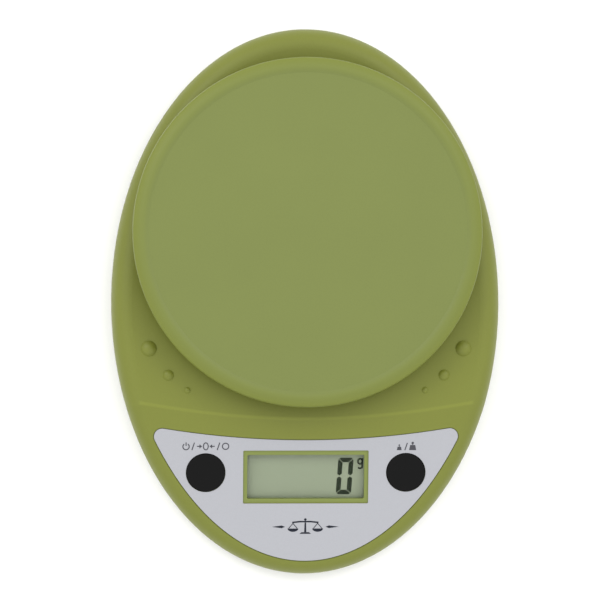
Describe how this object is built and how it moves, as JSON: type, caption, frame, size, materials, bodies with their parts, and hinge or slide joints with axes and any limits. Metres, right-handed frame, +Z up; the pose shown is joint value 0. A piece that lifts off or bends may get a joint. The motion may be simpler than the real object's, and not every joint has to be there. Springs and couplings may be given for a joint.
{
  "type": "portion scale",
  "caption": "Countertop portion scale: elliptical two-shell body, round weighing platform on a load cell, tilted display console with push buttons, battery bay underneath.",
  "frame": {"origin": "on the bench under the centre of the elliptical outline, at the bottom of the feet", "axes": "-Y towards the user and the display edge, +X to the user's right, +Z up"},
  "size_m": [0.1534, 0.216, 0.038],
  "materials": {
    "shell_green": "fine satin moulding texture",
    "platform_green": "fine satin moulding texture, smooth rim",
    "door_green": "fine satin moulding texture",
    "panel_silver": "satin metallic printed film",
    "window_clear": "polished clear acrylic",
    "display_glass": "polished, grey-green liquid crystal behind",
    "display_frame": "natural moulding",
    "contact_rubber": "banded elastomer",
    "button_black": "smooth satin",
    "switch_black": "moulded",
    "board_green": "solder-masked glass laminate",
    "chip_black": "epoxy",
    "capacitor_body": "sleeved can",
    "screw_steel": "zinc plated",
    "spring_steel": "nickel plated",
    "foot_rubber": "matt",
    "cell_aluminium": "milled, clear anodised",
    "gauge_cover": "white silicone sealant",
    "carrier_plastic": "moulded glass-filled nylon",
    "battery_wrap": "printed film over a can",
    "cable_grey": "matt sheath",
    "wire_red": "matt sheath",
    "wire_black": "matt sheath"
  },
  "bodies": {
    "case": {"upper_housing": "shell_green", "lower_housing": "shell_green", "load_cell": "cell_aluminium", "strain_gauge_covers": "gauge_cover", "load_cell_screws": "screw_steel", "housing_screws": "screw_steel", "board_screws": "screw_steel", "rubber_feet": "foot_rubber", "front_overlay": "panel_silver", "display_window": "window_clear", "lcd_front_glass": "display_glass", "lcd_rear_glass": "display_glass", "lcd_frame": "display_frame", "contact_strips": "contact_rubber", "main_board": "board_green", "controller_blob": "chip_black", "converter_chip": "chip_black", "board_capacitors": "capacitor_body", "tare_switch_body": "switch_black", "unit_switch_body": "switch_black", "battery_front": "battery_wrap", "battery_rear": "battery_wrap", "battery_bridge_plate": "spring_steel", "battery_terminal_plates": "spring_steel", "battery_springs": "spring_steel", "load_cell_cable": "cable_grey", "battery_wire_red": "wire_red", "battery_wire_black": "wire_black"},
    "platform": {"weighing_platform": "platform_green", "platform_carrier": "carrier_plastic", "carrier_spacer": "cell_aluminium", "carrier_screws": "screw_steel", "platform_screws": "screw_steel"},
    "tare_key": {"tare_button": "button_black", "tare_switch_plunger": "switch_black"},
    "unit_key": {"unit_button": "button_black", "unit_switch_plunger": "switch_black"},
    "door": {"battery_door": "door_green"}
  },
  "joints": [
    {"name": "platform_press", "type": "slide", "parent": "case", "child": "platform", "axis": [0, 0, -1], "range_m": [0, 0.0006], "stiffness_N_per_m": 80000, "deforming": ["load_cell"]},
    {"name": "tare_press", "type": "slide", "parent": "case", "child": "tare_key", "axis": [0, 0.1736, -0.9848], "range_m": [0, 0.0006], "stiffness_N_per_m": 2500},
    {"name": "unit_press", "type": "slide", "parent": "case", "child": "unit_key", "axis": [0, 0.1736, -0.9848], "range_m": [0, 0.0006], "stiffness_N_per_m": 2500},
    {"name": "door_hinge", "type": "hinge", "parent": "case", "child": "door", "pos_m": [0, -0.04035, 0.0015], "axis": [-1, 0, 0], "range_deg": [0, 60]}
  ]
}
